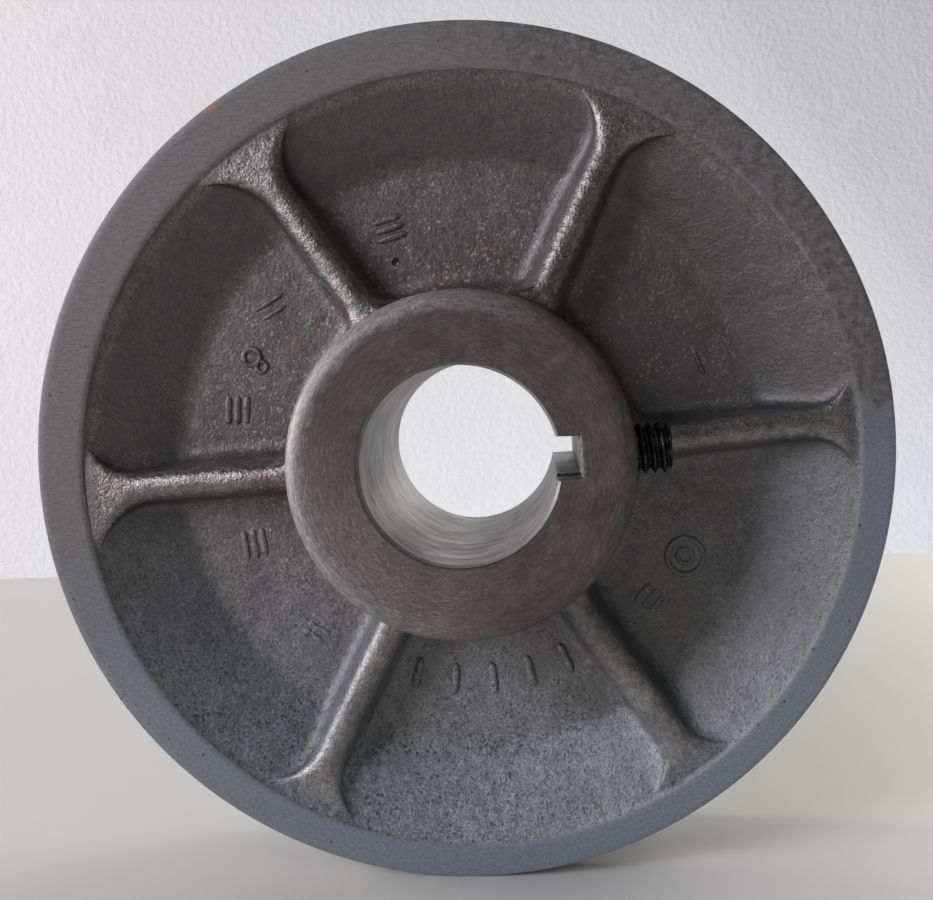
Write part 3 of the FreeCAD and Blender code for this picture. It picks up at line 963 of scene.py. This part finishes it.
@functools.cache
def cast_skin():
    """Sand cast iron skin: gritty, brown above and blue-grey below partly as painted light, with painted
    glints and small pits.
    """
    look = Look("cast_skin")
    # Lighter blue-grey skin towards the lower right, with more pits there: partly the skin's own colour,
    # partly painted light.
    clean_and_lit = look.toward(-80.0, -6.0, 34.0, 26.0)
    # The cone is painted darker than the flat on the brown upper side: painted shade where the cone
    # faces down.
    on_flat = look.radius.level(POCKET_FLOOR_RADIUS + 0.8, POCKET_FLOOR_RADIUS - 0.6)
    blue = look.mix(on_flat, BLUE_CONE, BLUE_FLAT)
    base = look.mix(on_flat, BROWN_CONE, BROWN_FLAT).mix(clean_and_lit, blue)
    crest = rib_crest(look)
    # The rib crests also turn lighter towards the lower right, partly as painted light.
    base = base.mix(crest, look.mix(clean_and_lit, RIB_WORN, RIB_BLUE))
    by_hub = look.radius.level(38.0, 27.0)
    bloom = look.grain(7.0, 4.0, 0.6).level(0.50, 0.66) * by_hub * look.toward(118.0, -8.0, 8.0, 8.0)
    base = base.mix(bloom, RED_BLOOM)
    blotch = look.grain(5.0, 5.0, 0.65)
    base = base.times(blotch.ramp((0.32, 0.80), (0.68, (1.18, 1.17, 1.16))))
    mottle = look.grain(1.1, 3.0, 0.65)
    base = base.times(mottle.ramp((0.36, (0.74, 0.73, 0.72)), (0.64, (1.26, 1.25, 1.24))))
    fine = look.grain(0.34, 3.0, 0.7)
    tone = fine.ramp((0.32, (0.38, 0.37, 0.36)), (0.50, 1.0), (0.66, (1.85, 1.82, 1.80)))
    base = base.times(tone, crest.between(1.0, 0.45))
    uneven = look.grain(0.42, 2.0, 0.6).level(0.3, 0.7, -0.17, 0.17)
    patches = look.grain(3.0)
    pits = look.cells(0.95) + uneven < patches.level(0.40, 0.65, 0.08, 0.33)
    pits = pits * clean_and_lit.between(0.45, 0.85) * crest.between(1.0, 0.25)
    base = base.mix(pits, PIT_DARK)
    # Painted glints: light specks in the colour stand in for highlights on glossy grains, mostly on the
    # flats near the hub and on the upper left.
    shifted = look.vector("ADD", {0: look.place, 1: GLINT_SHIFT})
    glints = look.cells(0.90, shifted) + uneven < patches.level(0.62, 0.42, 0.07, 0.30)
    flat_or_rib = look.math("MAXIMUM", on_flat, crest)
    painted_glint_zone = clean_and_lit.between(0.75, 0.15) * look.radius.level(49.0, 34.0, 0.35, 1.0)
    base = base.mix(glints * flat_or_rib * painted_glint_zone, GLINT)
    # Painted shadow and painted light: these patches darken the skin in the hub's shadow and darken or
    # lighten parts of the cone and single ribs.
    for center, reach, tint in PAINTED_LIGHT_PATCHES:
        base = base.times(tint, look.near(center, reach, PATCH_RAGGED))
    patchy = look.grain(2.4, 3.0, 0.6).level(0.40, 0.62, 0.25, 1.0)
    sand = look.grain(0.50, 1.0, 0.5) * patchy * flat_or_rib.between(0.80, 1.0)
    lumps = look.grain(1.5, 2.0, 0.5)
    return look.finish(
        [[lumps, 1.0, 0.10], [sand, 1.0, 0.11], [fine, 1.0, 0.09], [1.0 - pits, 0.6, 0.10]],
        Base_Color=base,
        IOR=SKIN_IOR,
        Metallic=crest * clean_and_lit.between(0.90, 0.50),
        Roughness=fine.level(0.3, 0.7, 0.28, 0.50) + crest.between(0.03, -0.11),
    )


@functools.cache
def turned_iron():
    """Turned rim, groove walls and core faces with fine tool lines, stains, a rust spot, and painted
    light and reflection towards the lower right.
    """
    look = Look("turned_iron")
    # Painted light and reflection: the turned faces are lighter and bluer towards the lower right, where
    # they catch the light and reflect the bright table.
    clean_and_lit = look.toward(-72.0, -8.0, 24.0, 16.0)
    base = look.mix(clean_and_lit, RIM_GREY, RIM_BLUE)
    above = (look.axis("Z") + look.ragged(4.0, 14.0, 5.0, 0.7)).level(7.5, 9.5)
    mottle = look.grain(1.6, 6.0, 0.75).level(0.40, 0.60)
    dirt = look.mix(mottle, RIM_BROWN, RIM_BARE)
    base = base.mix(look.toward(42.0, 40.0, 50.0, 22.0) * above, dirt)
    brushed = look.grain(1.0, 5.0, 0.7, look.stretched(0.5, 1.0, 3.2))
    tone = brushed.ramp((0.30, (0.68, 0.68, 0.67)), (0.70, (1.30, 1.29, 1.29)))
    base = base.times(tone, clean_and_lit.between(1.0, 0.25))
    fleck = look.grain(0.5, 4.0, 0.65)
    base = base.times(fleck.ramp((0.28, 0.66), (0.64, 1.20)))
    base = base.mix(look.cells(3.2) < 0.07, SPECK)
    base = base.mix(look.near(RUST_PLACE, 2.3, 2.6, look.stretched(*RUST_STRETCH)), RUST)
    return look.finish(
        [[look.turning_lines(30.0, 3.0), 0.35, 0.05], [brushed, 0.35, 0.05], [fleck, 0.3, 0.06]],
        Base_Color=base,
        IOR=FACE_IOR,
        Roughness=fleck.level(0.3, 0.7, 0.42, 0.58),
    )


@functools.cache
def hub_iron():
    """Faced hub end: purple-brown oxide over turning scratches, worn grey towards the rounding on the
    left, partly a painted highlight.
    """
    look = Look("hub_iron")
    scratch = look.turning_lines(14.0, 4.5)
    smudge = look.grain(4.0, 5.0, 0.65)
    oxide = smudge.ramp(
        (0.32, (0.030, 0.021, 0.021)), (0.50, (0.050, 0.034, 0.034)), (0.66, (0.076, 0.060, 0.058))
    )
    oxide = oxide.mix(look.turning_lines(3.0, 0.35).level(0.44, 0.58) * 0.6, HUB_DRIFT)
    oxide = oxide.mix(look.toward(-135.0, 8.0, 20.0, 16.0), HUB_LOW)
    # Worn grey rounding laid on the left side only: partly wear, partly a painted highlight where the
    # light catches the rounding.
    worn = (look.radius + look.ragged(1.6, 3.0, 4.0, 0.65)).level(21.9, 22.9)
    worn = worn * look.toward(163.0, -7.0, 12.0, 10.0)
    base = oxide.mix(worn, HUB_WORN_LIT)
    # Painted shade: the bore's chamfer is darkened at its lower left, where it lies in shade.
    mouth = look.radius.level(BORE_RADIUS + 0.9, BORE_RADIUS + 0.5)
    base = base.mix(mouth * look.toward(-130.0, -2.0, 9.0, 6.0), CHAMFER_SHADE)
    base = base.times(scratch.ramp((0.30, (0.55, 0.54, 0.54)), (0.50, 1.0), (0.70, (1.75, 1.68, 1.68))))
    fleck = look.grain(0.45, 4.0, 0.65)
    base = base.times(fleck.ramp((0.30, 0.62), (0.66, (1.30, 1.28, 1.28))))
    hatch = look.turning_lines(60.0, 0.7)
    return look.finish(
        [[hatch * worn, 0.6, 0.10], [scratch, 0.4, 0.05], [fleck, 0.4, 0.07]],
        Base_Color=base,
        IOR=FACE_IOR,
        Roughness=smudge.level(0.3, 0.7, 0.50, 0.38),
    )


@functools.cache
def bore_iron():
    """Bored and broached walls: lighter grey with bands round the hole and a few dark smears."""
    look = Look("bore_iron")
    bands = look.grain(1.0, 4.0, 0.6, look.stretched(0.08, 0.55, 0.08))
    smudge = look.grain(3.5, 5.0, 0.65, look.stretched(0.5, 1.0, 0.5))
    base = smudge.ramp(
        (0.30, (0.120, 0.112, 0.104)), (0.48, (0.215, 0.205, 0.190)), (0.70, (0.275, 0.264, 0.244))
    )
    base = base.times(bands.ramp((0.30, 0.78), (0.66, 1.12)))
    fleck = look.grain(0.35, 4.0, 0.7)
    base = base.times(fleck.ramp((0.3, 0.80), (0.7, 1.18)))
    in_keyway = look.radius.level(BORE_RADIUS + 0.15, BORE_RADIUS + 0.6)
    behind_face = look.axis("Y").level(-HUB_HEIGHT + 0.5, -HUB_HEIGHT + 0.7)
    return look.finish(
        [[bands, 0.4, 0.05], [look.grain(0.5, 4.0), 0.3, 0.05]],
        Base_Color=base.mix(in_keyway * behind_face * 0.75, KEYWAY_SHADE),
        IOR=SKIN_IOR,
        Metallic=0.35,
        Roughness=smudge.level(0.3, 0.7, 0.55, 0.36),
    )


@functools.cache
def thread_iron():
    """Cut thread: darker, slightly oily iron with patches of brown dirt."""
    look = Look("thread_iron")
    fleck = look.grain(0.8, 4.0, 0.65)
    dirt = look.grain(5.0, 4.0, 0.6).level(0.45, 0.65)
    base = fleck.ramp((0.3, (0.10, 0.095, 0.09)), (0.7, (0.19, 0.185, 0.18)))
    return look.finish(
        [[fleck, 0.3, 0.06]],
        Base_Color=base.mix(dirt * 0.6, THREAD_DIRT),
        IOR=SKIN_IOR,
        Metallic=0.5,
        Roughness=fleck.level(0.3, 0.7, 0.30, 0.50),
    )


@functools.cache
def screw_steel():
    """Black oxide alloy steel, worn brighter in places."""
    look = Look("screw_surface")
    wear = look.grain(1.4, 4.0, 0.65)
    base = wear.ramp((0.40, (0.014, 0.014, 0.015)), (0.56, (0.040, 0.040, 0.042)), (0.72, 0.20))
    roughness = wear.level(0.3, 0.7, 0.34, 0.18)
    return look.finish([[wear, 0.2, 0.05]], Base_Color=base, Metallic=0.8, Roughness=roughness)


@functools.cache
def key_steel():
    """Drawn key stock with fine lines along the key, rust and dark blots."""
    look = Look("key_surface")
    lines = look.grain(1 / 1.5, 4.0, 0.5, look.stretched(3.0, 0.15, 3.0))
    rust = look.grain(2.5, 5.0, 0.65)
    base = lines.ramp((0.3, (0.060, 0.057, 0.054)), (0.7, (0.130, 0.126, 0.121)))
    base = base.mix(rust.level(0.46, 0.62), KEY_RUST)
    base = base.mix(look.grain(0.8, 4.0, 0.7).level(0.50, 0.60), KEY_BLOT)
    roughness = rust.level(0.3, 0.7, 0.40, 0.62)
    return look.finish([[lines, 0.2, 0.04]], Base_Color=base, Metallic=0.6, Roughness=roughness)


@functools.cache
def plain_stage(name, color, rough, relief):
    """Soft painted surface of the room, with a faint texture where it has relief."""
    look = Look(name)
    low = tuple(value * 0.97 for value in color)
    base = look.grain(60.0, 3.0).ramp((0.3, low), (0.7, color))
    layers = [[look.grain(7.0, 3.0, 0.55), 0.5, relief]] if relief else []
    return look.finish(layers, Base_Color=base, Roughness=rough)


# ======== screws and key
# Shape of a set screw: steepness and flat share of the thread, depth of thread and of socket.
SCREW_COLUMNS = 96
SCREW_ROWS_PER_PITCH = 12
SCREW_WAVE = [1.3, 0.15]
SCREW_DEPTH = 0.56
SOCKET_FLOOR = 0.58
END_GAP = 0.08


def screw_mesh(name, radius, length, pitch, socket, point):
    """Cup point socket set screw along +X with a helical thread; the point is at X = 0."""
    angle = np.arange(SCREW_COLUMNS) * 360 / SCREW_COLUMNS
    hexagon = socket / 2 / np.cos(np.radians((angle + 30) % 60 - 30))
    tip = radius - point
    floor = length * SOCKET_FLOOR
    rings = [[tip * 0.45, point * 0.55], [tip * 0.92, 0.08], [tip, 0.0]]
    rows = int(length / pitch * SCREW_ROWS_PER_PITCH)
    for place in np.linspace(END_GAP, length - END_GAP, rows):
        size = radius - SCREW_DEPTH * pitch * groove_wave(place / pitch - angle / 360, *SCREW_WAVE)
        end = radius - 0.62 + (length - place) * 0.9
        rings.append([np.minimum(size, min(tip + place, end)), place])
    rings += [[radius - 0.75, length], [hexagon * 1.1, length], [hexagon, length - 0.22]]
    rings += [[hexagon, floor], [hexagon * 0.5, floor - 0.35]]
    turned = [polar(size, angle, place)[:, [1, 0, 2]] for size, place in rings]
    points = np.concatenate(turned + [np.array([[point * 0.75, 0, 0], [floor - 0.5, 0, 0]])])
    faces = pointed_faces(len(rings), SCREW_COLUMNS)
    return make_object(name, points, faces, [screw_steel()], sharp=50.0)


def screw_line(node):
    """Direction of a screw's joint and the middle of its CAD node's box."""
    low, high = node_box(node)
    axis = entry(frame["joints"], "child", node)["axis"]
    return Vector(axis).normalized(), Vector((low + high) / 2)


def set_screw(node, radius, length, pitch, socket, point):
    """Lays a screw on its joint axis, in the middle of its CAD node's box."""
    obj = screw_mesh(node + "_piece", radius, length, pitch, socket, point)
    direction, middle = screw_line(node)
    origin = middle - direction * (length / 2)
    turn = direction.to_track_quat("X", "Z").to_matrix().to_4x4()
    obj.data.transform(Matrix.Translation(origin * MM) @ turn)
    declare(obj, node, node)


# Turns from the middle of a rounded corner at which the key's outline has points.
CORNER_STEPS = [-37, -28, -18, -9, -5.5, -3.4, -1.8, 0, 1.8, 3.4, 5.5, 9, 18, 28, 37, 45]
# Chamfered end of the key: depth from the end and how far the outline is drawn in.
KEY_END = [[0.06, 2.6], [0.02, 1.5], [0.0, 0.36], [0.13, 0.13], [0.36, 0.0]]


def key_outline():
    """Square with rounded corners: offsets across and out from the middle of the key."""
    half = KEY_SIDE / 2
    flat = half - KEY_EDGE
    outline = []
    for corner in [45, 135, 225, 315]:
        for step in CORNER_STEPS:
            ray = np.array(swung(1, 0, corner + step))
            ray = ray / abs(ray).max() * half
            inner = np.clip(ray, -flat, flat)
            out = ray - inner
            outline.append(inner + out / np.linalg.norm(out) * KEY_EDGE)
    return outline


def square_key():
    """External key: rounded long edges with small nicks, chamfered ends and drawn faces."""
    low, high = node_box("external_key")
    length = high[1] - low[1]
    rows = KEY_END + [[depth, 0.0] for depth in np.arange(0.8, length - 0.6, 0.5)]
    rows += [[length - depth, inset] for depth, inset in KEY_END[::-1]]
    middle = OUTER_KEYWAY_FLOOR + KEY_PLAY + KEY_SIDE / 2
    outline = key_outline()
    points = []
    for depth, inset in rows:
        for across, out in outline:
            corner = max(0.0, (abs(across) + abs(out)) / KEY_SIDE - 0.9) * 10
            spot = Vector((across, depth, out))
            nick = max(0.0, noise.noise(spot * 0.9) - 0.1) * 0.35 * corner
            wave = 0.02 * (1 + noise.noise(spot * 0.6))
            share = 1 - (inset + nick + wave) / (KEY_SIDE / 2)
            x, z = swung(middle + out * share, across * share, KEY_ANGLE + 180)
            points.append([x, low[1] + depth, z])
    faces = loft(points, False, len(outline))
    obj = make_object("external_key_piece", points, faces, [key_steel()], sharp=35.0)
    declare(obj, "external_key", "external_key")


# ======== holes
HOLE_LENGTH = 30
TILTED_HOLE_LENGTH = 34
# Blow holes of the keyway's lower wall: distances from the axis, depth in the wall and radius.
PORES = [15.05, 16.1, 16.95]
PORE_DEPTH = 0.15
PORE_RADIUS = 0.38
# Blow hole of the web.
BLOW_HOLE = [32.9, 111.0]
BLOW_HOLE_RADIUS = 0.75


def fixed_holes(obj):
    """Tapped hole of the hub screw, pores in the keyway's lower wall and a blow hole in the web."""
    line, middle = screw_line("hub_set_screw")
    start = line * (BORE_RADIUS - 3) + Vector((0, middle.y, 0))
    drill(obj, start, line, SCREWS[0][1] + HOLE_PLAY, HOLE_LENGTH)
    for out in PORES:
        x, z = swung(out, -KEYWAY_HALF - PORE_DEPTH, KEY_ANGLE)
        dent(obj, [x, -HUB_HEIGHT + 0.75, z], PORE_RADIUS)
    x, z = swung(BLOW_HOLE[0], 0, BLOW_HOLE[1])
    dent(obj, [x, POCKET_DEPTH - 0.1, z], BLOW_HOLE_RADIUS)


def moving_holes(obj):
    """Tilted tapped holes of the key screw and the lock screw."""
    for node, radius, length in [screw[:3] for screw in SCREWS[1:]]:
        line, middle = screw_line(node)
        drill(obj, middle - line * (length / 2 + 4), line, radius + HOLE_PLAY, TILTED_HOLE_LENGTH)


# ======== build
casting("fixed_casting", fixed_surface, "fixed_flange", "fixed_half", True, fixed_holes)
casting("moving_casting", moving_surface, "moving_flange", "moving_half", False, moving_holes)
cast_marks()
keyway_burr()
for screw in SCREWS:
    set_screw(*screw)
square_key()


# ======== stage, light, camera
def stage_plane(name, corners, material):
    """Flat surface of the room."""
    obj = add_object(name, new_mesh(name, corners, [(0, 1, 2, 3)]))
    obj.data.materials.append(material)


TABLE_FRONT = -1200
TABLE_EDGE = 296.0
EDGE_TILT = 0.172
WALL_PLACE = 1300.0
WALL_HALF = 3000
ROOM_LOW = -1500
ROOM_HIGH = 2500
SIDE = 1500.0
stage_plane(
    "table",
    [
        [-SIDE, TABLE_FRONT, FLOOR_HEIGHT],
        [SIDE, TABLE_FRONT, FLOOR_HEIGHT],
        [SIDE, TABLE_EDGE + EDGE_TILT * SIDE, FLOOR_HEIGHT],
        [-SIDE, TABLE_EDGE - EDGE_TILT * SIDE, FLOOR_HEIGHT],
    ],
    plain_stage("table_paint", (0.69, 0.685, 0.665), 0.5, 0),
)
ROOM = 3400.0
WALL_PAINT = ["wall_paint", (0.51, 0.51, 0.515), 0.7, 3.0]
ROOM_PAINT = ["room_paint", (0.44, 0.44, 0.44), 0.8, 0]
for name, start, end, paint in [
    ["wall", [-WALL_HALF, WALL_PLACE], [WALL_HALF, WALL_PLACE], WALL_PAINT],
    ["room_front", [-ROOM, -ROOM], [ROOM, -ROOM], ROOM_PAINT],
    ["room_left", [-ROOM, ROOM], [-ROOM, -ROOM], ROOM_PAINT],
    ["room_right", [ROOM, -ROOM], [ROOM, ROOM], ROOM_PAINT],
]:
    corners = [[*start, ROOM_LOW], [*end, ROOM_LOW], [*end, ROOM_HIGH], [*start, ROOM_HIGH]]
    stage_plane(name, corners, plain_stage(*paint))


def area_light(name, place, target, size, power, color):
    """Rectangular light aimed at a point."""
    lamp = bpy.data.lights.new(name, "AREA")
    lamp.shape = "RECTANGLE"
    lamp.size = size[0] * MM
    lamp.size_y = size[1] * MM
    lamp.energy = power
    lamp.color = color
    obj = add_object(name, lamp)
    obj.location = Vector(place) * MM
    aim = Vector(target) - Vector(place)
    obj.rotation_euler = aim.to_track_quat("-Z", "Y").to_euler()


# Lights round the wheel: degrees off its axis and from +X to +Z, size, power and colour.
LIGHT_DISTANCE = 2600
WINDOWS = [
    ["window_high", 52, 150, [1000, 1000], 35.0, (0.96, 0.965, 1.075)],
    ["window_low", 76, 180, [1000, 1000], 45.5, (0.955, 0.953, 1.09)],
    ["room", 52, 180, [1000, 1000], 11.4, (1.19, 0.975, 0.835)],
    ["ceiling", 52, 90, [1000, 1000], 3.0, (1.0, 1.02, 0.98)],
    ["overhead", 97, 80, [1600, 1200], 4.2, (1.0, 0.99, 0.97)],
    ["side_strip", 99, 170, [500, 1700], 52.5, (1.09, 1.03, 0.88)],
]
for name, off_axis, turn, *lamp in WINDOWS:
    out = math.radians(off_axis)
    x, z = swung(LIGHT_DISTANCE * math.sin(out), 0, turn)
    area_light(name, (x, -LIGHT_DISTANCE * math.cos(out), z), (0, 0, 0), *lamp)
area_light("back_right", (700, 900, 500), (0, 30, 0), (700, 700), 6.0, (1.05, 1.0, 0.93))
area_light("behind_bore", (0, 1100, 280), (0, 0, 0), (180, 180), 0.15, (1.0, 0.98, 0.95))
area_light("wall_wash", (350, 500, -700), (350, 1300, 300), (1400, 600), 12.0, (0.95, 0.99, 1.06))

world = bpy.data.worlds.new("room")
world.use_nodes = True
background = world.node_tree.nodes["Background"]
background.inputs["Color"].default_value = (0.80, 0.82, 0.85, 1.0)
background.inputs["Strength"].default_value = 0.01
bpy.context.scene.world = world

CAMERA_PLACE = (10.56, -195.4, 15.75)
CAMERA_YAW = 0.0033
CAMERA_PITCH = 0.0424
CAMERA_SHIFT = (-0.0673, -0.0460)
CAMERA_CLIP = (0.01, 20)
SENSOR = 36.0
FOCAL_LENGTH = 47.8457
camera_data = bpy.data.cameras.new("camera")
camera_data.sensor_width = SENSOR
camera_data.lens = FOCAL_LENGTH
camera_data.shift_x, camera_data.shift_y = CAMERA_SHIFT
camera_data.clip_start, camera_data.clip_end = CAMERA_CLIP
camera = add_object("camera", camera_data)
camera.location = Vector(CAMERA_PLACE) * MM
forward = Vector((-math.sin(CAMERA_YAW), math.cos(CAMERA_YAW), -math.sin(CAMERA_PITCH)))
camera.rotation_euler = forward.to_track_quat("-Z", "Y").to_euler()
bpy.context.scene.camera = camera
bpy.context.scene.view_settings.view_transform = "Standard"
